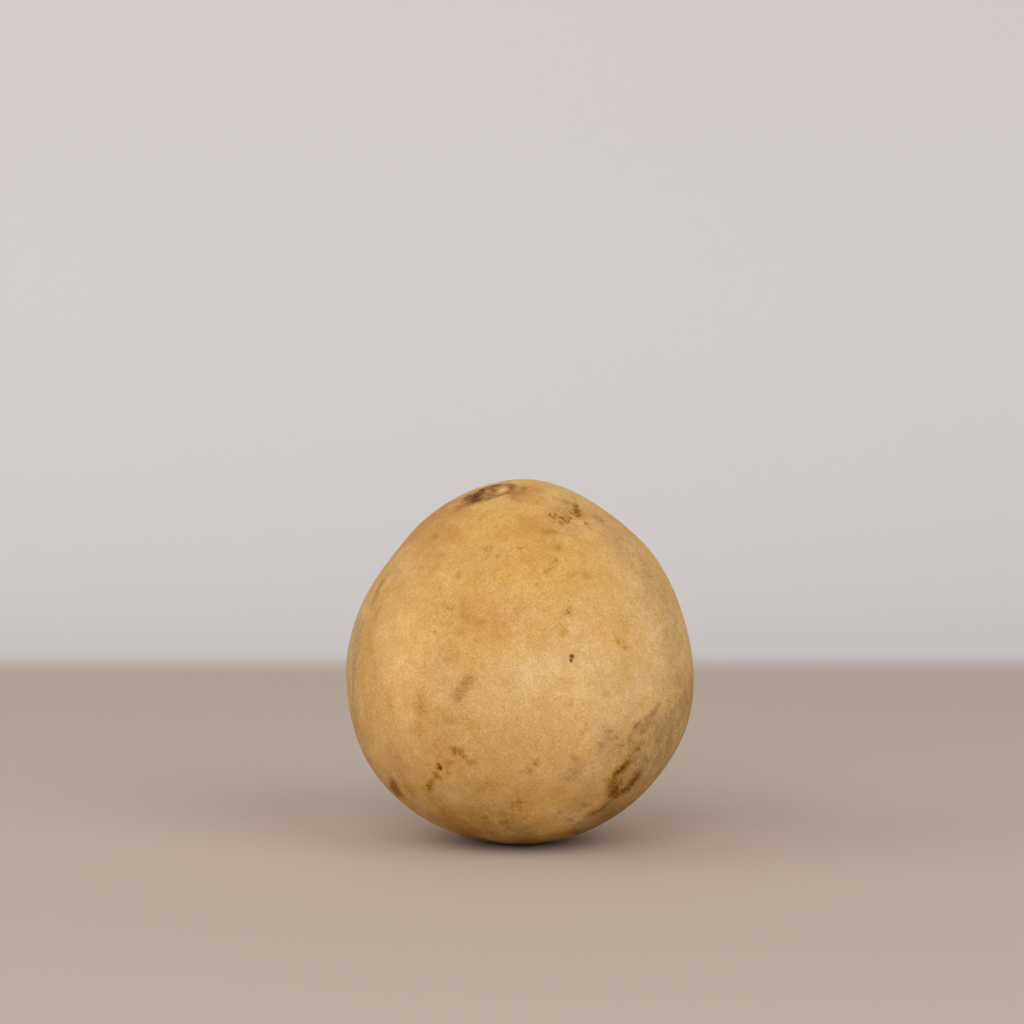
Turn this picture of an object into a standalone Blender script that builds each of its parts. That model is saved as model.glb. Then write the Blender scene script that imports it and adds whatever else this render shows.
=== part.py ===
"""A dried egg gourd: one whole, hard-skinned fruit, a little taller than wide, on a small flat spot.

The stem broke off cleanly, which left a round scar high on the crown. The blossom's smaller scar is
at the other end of the leaning growth axis. The front is -Y, where the stem scar shows at upper left.
"""

import math

import bmesh
import bpy
from mathutils import Vector

# Driving sizes, in metres
HEIGHT = 0.0750
WIDTH = 0.0716  # across, at the widest level
DEPTH = 0.0708  # front to back, at the widest level
WIDEST_LEVEL = 0.0332  # the widest level's height above the flat spot
CROWN_TAPER = 0.12  # the share of its width that the crown has lost at the very top
FLAT_DEPTH = 0.0004  # how much of the round base the flat spot takes off
MIDDLE = Vector((0.0, 0.0, HEIGHT / 2))

# The growth axis runs from the blossom scar up to the stem scar, in degrees seen from the middle
STEM_AZIMUTH = -39.5
STEM_ELEVATION = 74.4

# Swells and hollows in the round form: azimuth and elevation in degrees, breadth in degrees,
# height in metres. Azimuth 0 is the front and 90 the right; a height below 0 is a hollow.
SWELLS = {
    "right shoulder": (90.0, 38.0, 11.0, 0.00030),
    "left shoulder": (-90.0, 41.0, 13.0, -0.00045),
    "crown peak": (100.0, 88.0, 7.0, 0.00020),
    "right cheek": (90.0, 13.0, 12.0, -0.00028),
    "left cheek": (-90.0, 2.0, 12.0, 0.00045),
    "left foot": (-88.0, -44.0, 24.0, 0.00050),
    "right foot": (86.0, -46.0, 20.0, -0.00060),
    "back shoulder": (165.0, 38.0, 22.0, -0.00070),
    "back cheek": (-150.0, 6.0, 26.0, 0.00060),
    "front belly": (12.0, -16.0, 24.0, 0.00030),
}

# Ten faint lobes run from the stem to the blossom end
LOBES = 10
LOBE_HEIGHT = 0.00006

# The stem scar: a shallow hollow with a low uneven rim, a dark pit on the left and a pale plug
STEM_HOLLOW_RADIUS = 0.0085
STEM_HOLLOW_DEPTH = 0.00045
STEM_RIM_RADIUS = 0.0051
STEM_RIM_BREADTH = 0.0009
STEM_RIM_HEIGHT = 0.00022
STEM_RIM_WAVES = {3: 0.07, 5: 0.04}  # waves round the rim, and their share of its radius
STEM_FLOOR_DEPTH = 0.00030
STEM_PIT_PLACE = (-0.0024, -0.0002)
STEM_PIT_RADIUS = 0.0017
STEM_PIT_DEPTH = 0.00055
STEM_PLUG_PLACE = (0.0022, 0.0004)
STEM_PLUG_RADIUS = 0.0015
STEM_PLUG_HEIGHT = 0.00038

# The blossom scar: a small ring round a nub, clear of the flat spot
BLOSSOM_RING_RADIUS = 0.0021
BLOSSOM_RING_BREADTH = 0.0007
BLOSSOM_RING_HEIGHT = 0.00012
BLOSSOM_NUB_RADIUS = 0.0009
BLOSSOM_NUB_HEIGHT = 0.00022

# The mesh: meridians round the growth axis, and rings that crowd towards both scars
MERIDIANS = 72
RINGS = 56
RING_CROWDING = 0.6
SHARP_ANGLE = math.radians(40)

SKIN_COLOUR = (0.66, 0.40, 0.145, 1.0)
SKIN_ROUGHNESS = 0.55


def clear_scene():
    """Remove whatever the file holds when the script starts."""
    for obj in list(bpy.data.objects):
        bpy.data.objects.remove(obj, do_unlink=True)


def direction(azimuth, elevation):
    """Unit vector at this azimuth and elevation in degrees; azimuth 0 faces the front, -Y."""
    turn = math.radians(azimuth)
    rise = math.radians(elevation)
    level = math.cos(rise)
    return Vector((math.sin(turn) * level, -math.cos(turn) * level, math.sin(rise)))


STEM_AXIS = direction(STEM_AZIMUTH, STEM_ELEVATION)
SCAR_RIGHT = Vector((0.0, 1.0, 0.0)).cross(STEM_AXIS).normalized()
SCAR_AWAY = STEM_AXIS.cross(SCAR_RIGHT)


def bump(distance, breadth):
    """A smooth hump, 1 in the middle and nearly 0 past twice its breadth."""
    return math.exp(-((distance / breadth) ** 2))


def egg_point(ray):
    """The plain egg's surface for a unit vector: an ellipsoid of two halves with a tapered crown."""
    if ray.z > 0:
        narrowing = 1 - CROWN_TAPER * ray.z**3
        level = WIDEST_LEVEL + ray.z * (HEIGHT - WIDEST_LEVEL)
    else:
        narrowing = 1.0
        level = WIDEST_LEVEL + ray.z * (WIDEST_LEVEL + FLAT_DEPTH)
    return Vector((ray.x * narrowing * WIDTH / 2, ray.y * narrowing * DEPTH / 2, level))


def swell_height(outward):
    """How far the swells, hollows and lobes lift the skin along this unit vector."""
    lift = 0.0
    for azimuth, elevation, breadth, height in SWELLS.values():
        lift += height * bump(outward.angle(direction(azimuth, elevation)), math.radians(breadth))
    along = outward.dot(STEM_AXIS)
    round_axis = math.atan2(outward.dot(SCAR_AWAY), outward.dot(SCAR_RIGHT))
    return lift + LOBE_HEIGHT * math.cos(LOBES * round_axis) * (1 - along**2)


def stem_scar_height(right, away):
    """Relief of the stem scar at a place in its own plane."""
    distance = math.hypot(right, away)
    around = math.atan2(away, right)
    unevenness = sum(share * math.cos(waves * around) for waves, share in STEM_RIM_WAVES.items())
    rim_radius = STEM_RIM_RADIUS * (1 + unevenness)
    lift = -STEM_HOLLOW_DEPTH * bump(distance, STEM_HOLLOW_RADIUS)
    lift += STEM_RIM_HEIGHT * bump(distance - rim_radius, STEM_RIM_BREADTH)
    lift -= STEM_FLOOR_DEPTH * bump(distance, rim_radius - STEM_RIM_BREADTH)
    pit = math.hypot(right - STEM_PIT_PLACE[0], away - STEM_PIT_PLACE[1])
    plug = math.hypot(right - STEM_PLUG_PLACE[0], away - STEM_PLUG_PLACE[1])
    lift -= STEM_PIT_DEPTH * bump(pit, STEM_PIT_RADIUS)
    return lift + STEM_PLUG_HEIGHT * bump(plug, STEM_PLUG_RADIUS)


def blossom_scar_height(distance):
    """Relief of the blossom scar at this distance from the growth axis."""
    ring = BLOSSOM_RING_HEIGHT * bump(distance - BLOSSOM_RING_RADIUS, BLOSSOM_RING_BREADTH)
    return ring + BLOSSOM_NUB_HEIGHT * bump(distance, BLOSSOM_NUB_RADIUS)


def skin_point(ray):
    """The finished skin's surface for a unit vector."""
    point = egg_point(ray)
    outward = (point - MIDDLE).normalized()
    right = (point - MIDDLE).dot(SCAR_RIGHT)
    away = (point - MIDDLE).dot(SCAR_AWAY)
    lift = swell_height(outward)
    if outward.dot(STEM_AXIS) > 0:
        lift += stem_scar_height(right, away)
    else:
        lift += blossom_scar_height(math.hypot(right, away))
    return point + outward * lift


def crowded_ray(vertex):
    """The vertex of a unit sphere about +Z, moved towards the nearer pole and turned to the axis."""
    polar = vertex.angle(Vector((0.0, 0.0, 1.0)))
    polar -= RING_CROWDING / 2 * math.sin(2 * polar)
    around = math.atan2(vertex.y, vertex.x)
    across = SCAR_RIGHT * math.cos(around) + SCAR_AWAY * math.sin(around)
    return STEM_AXIS * math.cos(polar) + across * math.sin(polar)


def cut_flat_spot(mesh):
    """Cut the base off level at z = 0 and close it with one flat face."""
    everything = list(mesh.verts) + list(mesh.edges) + list(mesh.faces)
    bmesh.ops.bisect_plane(mesh, geom=everything, plane_co=(0, 0, 0), plane_no=(0, 0, 1), clear_inner=True)
    rim = [edge for edge in mesh.edges if edge.is_boundary]
    bmesh.ops.holes_fill(mesh, edges=rim, sides=0)


def centre_on_axis(mesh):
    """Slide the fruit level so that the middle of its box is above the origin."""
    for axis in (0, 1):
        places = [vertex.co[axis] for vertex in mesh.verts]
        middle = (min(places) + max(places)) / 2
        for vertex in mesh.verts:
            vertex.co[axis] -= middle


def skin_material():
    """Dry ochre rind with a dull sheen."""
    material = bpy.data.materials.new("dried_rind")
    material.use_nodes = True
    shader = material.node_tree.nodes["Principled BSDF"]
    shader.inputs["Base Color"].default_value = SKIN_COLOUR
    shader.inputs["Roughness"].default_value = SKIN_ROUGHNESS
    shader.inputs["Metallic"].default_value = 0.0
    return material


def make_gourd(collection):
    """The whole fruit: a sphere primitive whose vertices are moved onto the skin."""
    mesh = bmesh.new()
    bmesh.ops.create_uvsphere(mesh, u_segments=MERIDIANS, v_segments=RINGS, radius=1.0)
    for vertex in mesh.verts:
        vertex.co = skin_point(crowded_ray(vertex.co))
    cut_flat_spot(mesh)
    centre_on_axis(mesh)
    bmesh.ops.recalc_face_normals(mesh, faces=list(mesh.faces))
    data = bpy.data.meshes.new("egg_gourd")
    mesh.to_mesh(data)
    mesh.free()
    data.shade_smooth()
    data.set_sharp_from_angle(angle=SHARP_ANGLE)
    data.materials.append(skin_material())
    gourd = bpy.data.objects.new("egg_gourd", data)
    collection.objects.link(gourd)
    return gourd


def main():
    clear_scene()
    collection = bpy.data.collections.new("Dried egg gourd")
    bpy.context.scene.collection.children.link(collection)
    make_gourd(collection)


main()
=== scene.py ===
"""Looks of a dried egg gourd: its fine skin with scars, stains and faint relief, on a plain stage.

The skin is one closed mesh. It follows the same egg formula as the solid that it stands for, and adds
what that solid is too coarse for: unevenness, dimples, creases, and the stem scar's fibres and pits.
How strongly each kind of mark shows is stored on the mesh, where the rind's material reads it.
"""

import math

import bpy
import numpy as np
from bpy.props import FloatProperty, FloatVectorProperty, PointerProperty
from bpy.types import Operator, Panel, PropertyGroup
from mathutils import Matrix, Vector
from mathutils.noise import noise_vector, seed_set


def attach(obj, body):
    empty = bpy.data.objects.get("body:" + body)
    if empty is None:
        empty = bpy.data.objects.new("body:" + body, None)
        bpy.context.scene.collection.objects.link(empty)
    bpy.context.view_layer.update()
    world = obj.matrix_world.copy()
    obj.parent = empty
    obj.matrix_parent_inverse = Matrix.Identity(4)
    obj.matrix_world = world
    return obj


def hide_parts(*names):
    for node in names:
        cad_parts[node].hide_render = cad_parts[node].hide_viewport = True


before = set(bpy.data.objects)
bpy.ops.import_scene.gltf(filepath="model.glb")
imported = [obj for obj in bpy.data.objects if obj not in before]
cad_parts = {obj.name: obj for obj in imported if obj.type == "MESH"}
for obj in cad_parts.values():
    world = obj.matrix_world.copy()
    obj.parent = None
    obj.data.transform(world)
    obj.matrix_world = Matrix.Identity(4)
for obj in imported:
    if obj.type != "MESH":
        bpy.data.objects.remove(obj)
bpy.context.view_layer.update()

bl_info = {
    "name": "Dried egg gourd",
    "version": (1, 0, 0),
    "blender": (4, 5, 0),
    "location": "3D View > Sidebar > Egg Gourd",
    "description": "Models a dried egg gourd with its scars and stains, and sets it on a plain stage",
    "category": "Add Mesh",
}

SKIN_NAME = "egg_gourd_skin"
MM = 0.001

# The growth axis runs from the blossom scar up to the stem scar, in degrees seen from the middle.
# Azimuth 0 is the front and 90 the right.
STEM_AZIMUTH = -39.5
STEM_ELEVATION = 74.4

# Swells and hollows in the round form: azimuth, elevation and breadth in degrees, height in metres
SWELLS = {
    "right shoulder": (90.0, 38.0, 11.0, 0.00030),
    "left shoulder": (-90.0, 41.0, 13.0, -0.00045),
    "crown peak": (100.0, 88.0, 7.0, 0.00020),
    "right cheek": (90.0, 13.0, 12.0, -0.00028),
    "left cheek": (-90.0, 2.0, 12.0, 0.00045),
    "left foot": (-88.0, -44.0, 24.0, 0.00050),
    "right foot": (86.0, -46.0, 20.0, -0.00060),
    "back shoulder": (165.0, 38.0, 22.0, -0.00070),
    "back cheek": (-150.0, 6.0, 26.0, 0.00060),
    "front belly": (12.0, -16.0, 24.0, 0.00030),
}
LOBES = 10

# The stem scar, in its own plane: a hollow, an uneven rim, a dark pit and a pale plug
STEM_HOLLOW_RADIUS = 0.0085
STEM_HOLLOW_DEPTH = 0.00045
STEM_RIM_RADIUS = 0.0051
STEM_RIM_BREADTH = 0.0009
STEM_RIM_HEIGHT = 0.00022
STEM_RIM_WAVES = {3: 0.07, 5: 0.04}
STEM_FLOOR_DEPTH = 0.00030
STEM_PIT_PLACE = (-0.0028, -0.0008)
STEM_PIT_RADIUS = 0.0017
STEM_PIT_DEPTH = 0.00055
STEM_PLUG_PLACE = (0.0029, -0.0004)
STEM_PLUG_RADIUS = 0.0015
STEM_PLUG_HEIGHT = 0.00038

# Its finest forms: a groove inside the rim, fibres, a ring of vessel pits, and a corky face
STEM_GROOVE_INSET = 0.00040
STEM_GROOVE_BREADTH = 0.00042
STEM_GROOVE_DEPTH = 0.00012
STEM_FIBRES = 26
STEM_FIBRE_SWAY = 1.4
STEM_FIBRE_BENDS = 3
STEM_FIBRE_HEIGHT = 0.00004
STEM_FIBRE_DARKNESS = 0.3
STEM_VESSELS = 10
STEM_VESSEL_RING = 0.0030
STEM_VESSEL_RADIUS = 0.00030
STEM_VESSEL_DEPTH = 0.00012
STEM_VESSEL_DARKNESS = 0.5
STEM_CORK_EDGE = 0.00030

# How far, in shares of their spacing, the vessel pits leave their even places, and how fast that changes
STEM_VESSEL_SCATTER = 0.3
STEM_VESSEL_SCATTER_TURN = 2.4

# The scar is an oval: its half width and half height against a round one's, and its shift
STEM_OVAL = (0.97, 0.76)
STEM_OVAL_SHIFT = (-0.0001, 0.00105)

# How much of the marks' irregular shifts the scar takes, and how much its pale spots clear its cracks
STEM_WANDER_SHARE = 0.4
STEM_PALE_CLEARING = 0.8

# The blossom scar: a small ring round a nub
BLOSSOM_RING_RADIUS = 0.0021
BLOSSOM_RING_BREADTH = 0.0007
BLOSSOM_RING_HEIGHT = 0.00012
BLOSSOM_NUB_RADIUS = 0.0009
BLOSSOM_NUB_HEIGHT = 0.00022

# The cuts of the starting cube, and the places where it is made finer: azimuth, elevation and radius
# in degrees, seen from the fruit's middle
FIRST_CUTS = 3
SECOND_CUTS = 27
FINE_PLACES = (
    (STEM_AZIMUTH, STEM_ELEVATION, 13.0),
    (STEM_AZIMUTH, STEM_ELEVATION, 9.5),
    (STEM_AZIMUTH + 180, -STEM_ELEVATION, 6.0),
    (16.6, 7.0, 2.8),
    (16.6, 7.0, 1.8),
    (36.0, 61.0, 9.5),
    (35.0, 60.5, 7.5),
    (-33.0, -33.0, 7.0),
    (-18.5, -24.5, 4.0),
    (-19.0, -3.0, 4.0),
    (-63.0, -41.0, 6.0),
    (41.0, -31.0, 12.5),
)

# The flat spot's face is the one that points down by more than this; its cut merges points this near
FLAT_SPOT_NORMAL = -0.9999
CUT_TOLERANCE = 1e-7

# The rind's noise patterns: cell size in metres, detail, roughness and distortion
PATTERNS = {
    "clouds": (0.010, 5.0, 1.0, 0.0),
    "leather": (0.006, 3.0, 0.6, 0.0),
    "mottles": (0.0024, 3.0, 0.6, 0.0),
    "grain": (0.0008, 2.0, 0.6, 0.0),
    "dust": (0.0003, 1.0, 0.5, 0.0),
    "wisps": (0.007, 4.0, 0.7, 1.2),
    "frays": (0.0006, 3.0, 0.7, 1.0),
    "speckles": (0.00033, 2.0, 1.0, 0.0),
}

# A slow sway of all patterns: cell size and reach in metres
SWAY_CELL = 0.012
SWAY = 0.004

# How patterns are spread: the low and high of a pattern's range, and what these two become
WISP_SPREAD = (0.45, 0.62, 0.0, 0.7)
PATCHY_SPREAD = (0.35, 0.65, 0.4, 1.4)
WORN_SPREAD = (0.42, 0.58, 0.6, 1.3)
SOFT_SPREAD = (0.40, 0.60, 0.5, 1.4)
RAGGED_SPREAD = (0.40, 0.60, 0.05, 1.7)
CORK_SPREAD = (0.4, 0.7, 0.0, 0.6)
CLOUD_SPREAD = (0.26, 0.74, 0.0, 1.0)
SPECKLE_SPREAD = (0.3, 0.7, -0.48, 0.48)
BLOTCH_SPREAD = (0.46, 0.56, -0.05, 0.05)
ROUGHNESS_SPREAD = (0.3, 0.7, 0.60, 0.75)

# Patterns that are mixed, with their weights: for the breaks in stains, and for the finest bumps
BREAKS_MIX = {"mottles": 0.3, "frays": 0.7}
BUMPS_MIX = {"mottles": 0.5, "grain": 0.35, "dust": 0.15}
BUMP_HEIGHT = 0.00008
GLOSS = 0.12

# How much lighter the rind is where its colour is paler by 1, and the steps in which a stain grows
# This lift also carries the painted light at the right of the foot
PALE_LIFT = 0.5
STAIN_STEPS = (0.0, 0.25, 0.5, 0.75, 1.0)

# The stage: a floor that bends up into a backdrop behind the gourd
STAGE_WIDTH = 3.2
STAGE_FRONT = -1.6
BACKDROP_PLACE = 0.62
BACKDROP_HEIGHT = 1.5
BEND_RADIUS = 0.24
BEND_STEPS = 24

# How far behind the gourd the floor's colour begins and ends to pass into the backdrop's
FLOOR_END = (0.29, 0.36)
STAGE_ROUGHNESS = 0.9

# Soft lights: azimuth and elevation in degrees, distance and size in metres, power in watts
LIGHTS = {
    "left_light": (-75.0, 31.0, 1.2, 0.9, 3.3),
    "front_light": (-15.0, 33.0, 1.2, 0.9, 6.0),
    "right_light": (45.0, 31.0, 1.2, 0.9, 5.0),
}

# The camera's view of the gourd, in a square picture of 1024 pixels a side
PICTURE_SIDE = 1024
GOURD_MIDDLE_IN_PICTURE = (519.85, 660.75)
LENS = 106.38
SENSOR = 36.0
CAMERA_DISTANCE = 0.6277
CAMERA_ELEVATION = 6.5

# Oval marks, seen from the fruit's middle: azimuth and elevation in degrees, length and width in
# millimetres, strength, and where the length isn't level, how far it is turned in degrees
MARKS = {}

# Yellower rind
MARKS["gold"] = (
    (0, 56, 26, 15, 0.6),
    (8, 42, 20, 9, 0.7, 10),
    (22, 32, 16, 8, 0.6, -20),
    (33, 12, 9, 12, 0.35),
    (-52, 2, 13, 34, 0.3),
    (-3, -45, 30, 12, 0.7),
    (-5, -29, 15, 7, 0.5),
    (26, 2, 12, 12, 0.3),
    (10, -37, 15, 8, 0.5),
    (-6, -66, 24, 14, 0.8),
    (160, 40, 26, 18, 0.6, 30),
    (-140, -20, 24, 16, 0.6, 60),
    (100, -10, 16, 26, 0.5),
)

# Peachy tan rind
MARKS["blush"] = (
    (-12, 22, 19, 10, 0.5, -12),
    (-25, -26, 9, 8, 0.35),
    (-13, 20, 14, 7, 0.2),
    (-35, 0, 22, 26, 0.3),
    (-57, 27, 10, 14, 0.4),
    (64, 12, 8, 26, 0.2),
    (-3, 22, 9, 8, 0.4),
    (-8, 45, 16, 11, 0.5),
    (-46, 48, 17, 10, 0.8, -30),
    (12, 57, 14, 7, 0.4),
    (-72, -2, 7, 50, 0.35),
    (-48, -2, 16, 30, 0.2),
    (-78, 56, 16, 18, 0.9),
    (-50, 64, 8, 5, 0.7, 150),
    (4, 75.5, 9, 8, 0.6, 60),
    (64, 58, 16, 9, 0.55, 27),
    (48, 62, 13, 7, 0.65, 30),
    (-45, -30, 13, 13, 0.4),
    (140, 10, 24, 15, 0.8, 40),
    (-120, 30, 18, 13, 0.8, -20),
    (175, -25, 24, 14, 0.7),
)

# Pale bloom on the rind, and one mark of painted light at the right of the foot
MARKS["bloom_and_painted_light"] = (
    (30, -10, 46, 34, 0.7, 10),
    (6, 2, 22, 13, 0.75, 10),
    (50, 66, 22, 9, 0.45, 30),
    (12, -17, 14, 8, 0.35),
    (60, 5, 22, 46, 0.8),
    (56, -30, 12, 16, 0.6),
    (62, 45, 14, 20, 0.6),
    (-11, -3, 18, 14, 0.65),
    (22, 16, 14, 11, 0.5),
    (125, 35, 20, 26, 0.7),
    (-165, 5, 34, 20, 0.8, 20),
    (-95, -5, 18, 28, 0.5),
    (-76, -5, 8, 40, 0.5),
    (-48, 0, 14, 30, 0.3),
    (-46, -46, 9, 7, 0.4),
    # Painted light: the right of the foot made paler and greener, as if lit from the floor
    (14, -53, 28, 13, 1),
    (-29, -42, 10, 8, 0.5),
    (32, 20, 10, 7, 0.3),
)

# Dull and dirty rind; the broad mark under the foot is partly dirt and partly painted shade
MARKS["shade"] = (
    (-60, -42, 14, 12, 0.35, -20),
    (-30, -56, 16, 9, 0.4, -10),
    (18.5, -30.5, 9, 4.6, 0.22, 60),
    # Painted shade, and partly dirt: the foot darkened where little light reaches it
    (0, -84, 42, 42, 1.05),
    (150, -40, 20, 14, 0.6, -30),
    (-130, 55, 14, 9, 0.5, 20),
)

# Olive stains
MARKS["olive"] = (
    (49.5, 66, 2.4, 1.2, 0.7, 33),
    (43.8, 62.7, 3.2, 1.6, 1.6, 60),
    (41.8, 60.7, 1.6, 1, 1.6, 30),
    (38.5, 61.9, 1.9, 1, 0.8, 44),
    (28.4, 59.5, 1.4, 1, 1.5, 143),
    (30.2, 58.3, 1.3, 1, 1.9, 42),
    (33.7, 59.9, 1, 0.8, 1.4, 60),
    (27.1, 57.6, 2.2, 1.3, 0.5, 12),
    (21, 61.3, 1.5, 0.9, 1, 35),
    (22.7, 60.2, 1.3, 0.9, 1.3, 73),
    (25.2, 61.4, 1.1, 0.7, 0.7, 104),
    (42.6, 56.5, 1.4, 0.9, 0.9, 31),
    (43.1, 54.7, 1.6, 1, 0.35, 75),
    (31, 62, 7, 3.4, 0.3, 25),
    (41, 61.5, 5, 3.5, 0.35, 30),
    (16, 53.5, 3.4, 2, 0.35, 7),
    (-0.5, 46.5, 2.4, 1.6, 0.5, 90),
    (15.5, 41, 2, 1.8, 0.45, 60),
    (11, 37.5, 3, 1.1, 0.35, 27),
    (18.5, 46, 2.1, 1.6, 0.28, 60),
    (28.5, 34.5, 3.8, 2.6, 0.15, 124),
    (22, 35.5, 3, 2.2, 0.2, 10),
    (6.5, 32, 2.8, 1.7, 0.18),
    (17.5, 22.5, 3, 2.3, 0.55, 10),
    (14.5, 17, 2.6, 4.8, 0.35, 10),
    (16.3, 6.3, 0.7, 0.8, 0.5),
    (35, 12, 3.2, 1.2, 0.42, 148),
    (37.5, 9.5, 1.6, 1, 0.45),
    (28.5, -5, 1.6, 2.3, 0.22),
    (-47, -11.5, 1.8, 4, 0.2, 5),
    (-34.5, -9, 2.1, 5, 0.25, -10),
    (-35.5, -16, 2, 3.6, 0.3, 10),
    (-21.9, -22.8, 2.7, 2, 0.75, 16),
    (-19.4, -24.6, 1.6, 1.3, 0.45, 156),
    (-16.8, -26.4, 2.2, 1.4, 0.35, 28),
    (-30, -29.5, 1.9, 1.2, 1.15, 55),
    (-33, -32.5, 2.5, 1.3, 0.75, 130),
    (-38.4, -37.7, 2.2, 1.8, 1, 60),
    (-25.5, -27.5, 3, 1.3, 0.3, 26),
    (-27, -31, 1.5, 1.2, 0.3, 36),
    (-1, -44, 4, 3.6, 0.5, 98),
    (-9, -52, 20, 11, 0.3),
    (40.9, -40.4, 3.6, 2.2, 0.75, 150),
    (50, -53, 9, 4, 0.25, 140),
    (2.5, -29, 2.2, 1.4, 0.35),
    (5.5, -26.5, 1.5, 1.3, 0.4, 140),
    (-12, -35, 4.4, 2.9, 0.2, 27),
    (-18, -58, 8, 5, 0.3, 12),
    (35, -63, 5, 3.5, 0.4),
    (37, -50.5, 4.5, 3.4, 0.35, 134),
    (-50, 50, 3, 1.8, 0.3, 154),
    (-15.5, 46, 2.3, 1.7, 0.3, 116),
    (-26.5, 35, 1.5, 2.1, 0.3),
    (-26.5, 23.5, 3.2, 1.6, 0.25, 163),
    (-28, 18, 3.7, 1.6, 0.25, 165),
    (-30.5, 15, 1.2, 1.1, 0.35),
    (-21.5, 15.5, 2.1, 1.4, 0.25),
    (-1.5, 22.5, 2, 2, 0.2),
)

# Brown bruises
MARKS["bruise"] = (
    (-24, -13, 2.5, 2, 0.35, 30),
    (-62.6, -40.6, 6.2, 2.9, 1.7, 38),
    (-51, -41, 4, 1.6, 0.35, 90),
    (-70, 28, 3, 7, 0.35),
    (-62.5, 18, 1.3, 3.6, 0.35),
    (-73, -4, 1.4, 8, 0.25, 5),
    (-73, 11, 1.4, 5, 0.25),
    (-58, 68.4, 5.4, 2, 0.6, 152),
    (-46.5, 67.3, 2.8, 1.8, 0.5, 96),
    (-54, 65, 3.4, 2.2, 0.3, 120),
    (3.4, 78.2, 2.8, 1.3, 0.5, 85),
    (-6.9, 71.5, 2.2, 1.3, 0.35, 99),
    (-1, 70, 2.4, 1.2, 0.3, 96),
    (-2, 74.5, 3.6, 2.6, 0.25, 60),
    (58.3, 57.2, 1, 0.6, 0.9, 19),
    (56.1, 58.4, 2.8, 2.2, 0.4, 139),
    (43.6, 62.7, 2.4, 1.4, 0.25, 30),
    (47.8, 65.6, 1.8, 1.1, 0.25, 33),
    (30, 58.8, 2.2, 1.2, 0.4, 42),
    (42.7, 68.1, 2.6, 1.6, 0.35, 25),
    (-19.5, 20.5, 1.7, 1.6, 0.3),
    (-13.5, 18.5, 2, 1.4, 0.25),
    (-10.5, 42.5, 1.4, 1.2, 0.25),
    (-39, -50.5, 6, 4, 0.3, 51),
    (45, -15.2, 5, 2, 0.25, 40),
    (33, -19.1, 1.4, 1, 0.45, 150),
    (29.3, -16.6, 1.3, 0.8, 0.45, 170),
    (29.7, -19.2, 1.1, 0.9, 0.35, 146),
    (35.7, -21.9, 1.6, 0.9, 0.5, 167),
    (39.9, -26.1, 1.9, 0.9, 0.45, 151),
    (44.2, -23.4, 1.2, 0.8, 0.5, 153),
    (45.1, -17.4, 1.3, 0.7, 0.45, 159),
    (53.4, -22.1, 2.6, 0.8, 0.4, 159),
    (58.1, -20.3, 2.8, 0.8, 0.35, 161),
    (50.2, -28.3, 1.9, 0.8, 0.35, 161),
    (39.5, -20.4, 1.2, 0.8, 0.4, 153),
    (26.9, -21.1, 1.1, 0.9, 0.35, 141),
    (33, -34.4, 1.9, 1.1, 0.45, 174),
    (29.1, -44.5, 2, 1.2, 0.4, 143),
    (25.8, -52.2, 2.4, 1.2, 0.4, 131),
    (18.3, -47.3, 1.8, 1.1, 0.35, 119),
    (15.5, -7, 1.2, 2.1, 0.25, -10),
    (60, -21, 3, 8, 0.2, -10),
    (18.5, -25, 3.7, 1.6, 0.25, 150),
    (31, -28, 3.2, 2.1, 0.2, 150),
    (18.5, -30.5, 8, 4.6, 0.17, 60),
    (62, 35, 1.6, 3.4, 0.16),
)

# Scuffed rind
MARKS["scuff"] = (
    (63, 20, 13, 40, 0.38),
    (50, 66, 22, 9, 0.22, 30),
    (66, -4, 11, 14, 0.35),
    (54, -6, 8, 10, 0.22),
    (-76, -5, 8, 44, 0.5),
)

# Black specks
MARKS["char"] = (
    (16.8, 7.6, 0.9, 0.9, 1.15),
    (16.4, 6.4, 0.6, 0.7, 1),
    (-29.9, -29.7, 0.8, 0.6, 1, 45),
    (20, -17, 0.35, 0.5, 0.8),
    (5.2, -26.6, 0.5, 0.4, 0.4),
    (40.4, -15.9, 0.6, 0.5, 0.35, 30),
    (-24, 18.3, 0.4, 0.4, 0.4),
)

# Creases, which are all streaks
MARKS["crease"] = ()

# Where the rind's colour is deeper, or paler at strengths below zero, and painted light at the foot; these
# add up
MARKS["deepening_and_painted_light"] = (
    (-48, 49, 17, 10, 0.30, -30),
    (-50, 61, 12, 6, 0.20, -20),
    (0, 57, 20, 12, 0.16),
    (-12, 22, 18, 10, 0.17, -12),
    (-4, 28, 8, 7, 0.12),
    (6.5, 10, 7, 6, 0.18),
    (38, 31, 7, 6, 0.15),
    (-80, 58, 16, 16, 0.25),
    (-50, 64, 8, 5, 0.2, 150),
    (3, 75.5, 9, 7, 0.55, 60),
    (60, 42, 9, 22, 0.12),
    (54, -50, 12, 7, 0.5, 140),
    (-19, 8, 9, 18, 0.2),
    (29, 14, 8, 7, -0.15),
    (56, 14, 8, 22, -0.15),
    (-14, -24, 8, 14, 0.12),
    (-29, -42, 10, 7, -0.2),
    (-14, -37, 8, 6, 0.12),
    (-14, 41, 13, 12, 0.25),
    (-24, -28, 14, 10, -0.2),
    (20, 40, 18, 12, 0.06),
    (-43, 2, 14, 28, -0.34),
    (4, -33, 24, 14, -0.14),
    (20, -12, 18, 18, -0.1),
    # Painted light: the right of the foot made paler, as if lit from the floor
    (16, -50, 26, 10, -0.45),
    (10, -64, 16, 8, -0.45),
    (-2, -62, 22, 8, 0.12),
    (130, 25, 30, 20, 0.2, 20),
    (-130, -5, 24, 30, -0.15),
    (175, -10, 30, 18, -0.15, 10),
    (-150, 45, 24, 16, 0.22),
)

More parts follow.
